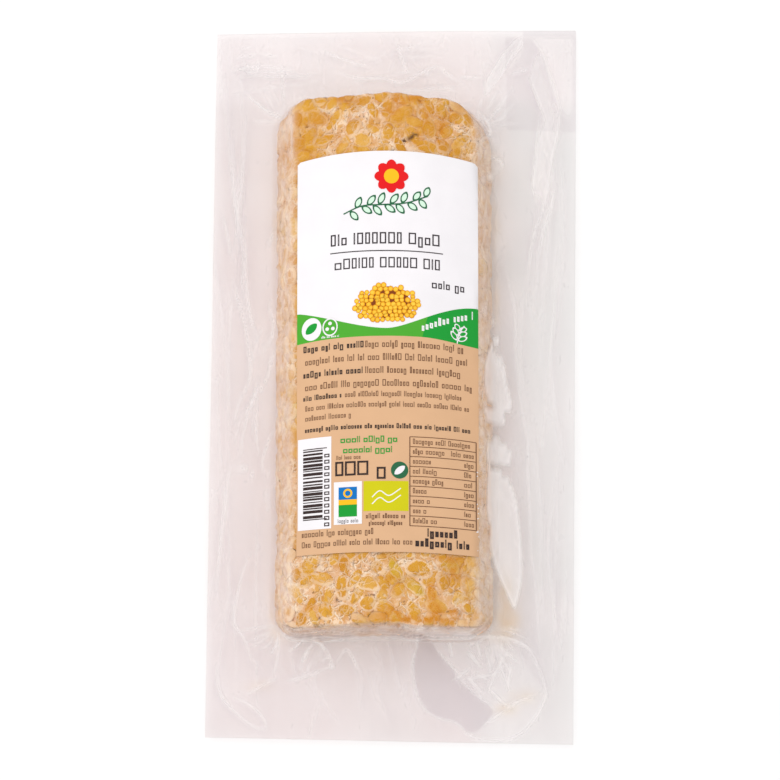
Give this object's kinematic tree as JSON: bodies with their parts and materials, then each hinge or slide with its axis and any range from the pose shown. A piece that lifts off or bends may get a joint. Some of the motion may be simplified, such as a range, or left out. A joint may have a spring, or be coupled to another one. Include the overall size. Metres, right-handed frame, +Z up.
{
  "type": "vacuum-packed tempeh cake",
  "caption": "Oblong soybean tempeh cake vacuum-packed in a clear flat bag with wide margins, lying with its printed paper label up.",
  "frame": {"origin": "on the surface the pack lies on, under the middle of the bag", "axes": "+Z up through the labelled face; +Y along the pack towards the head of the label; +X across the pack, to the right when the label is read"},
  "size_m": [0.144, 0.2814, 0.0348],
  "materials": {
    "film": "clear glossy vacuum film, creased in the margins",
    "label_paper": "coated label paper with a satin face",
    "tempeh": "golden cooked soybeans bound by a pale mycelium web, wet under the film"
  },
  "bodies": {
    "root": {"bag": "film", "label": "label_paper"}
  },
  "joints": []
}
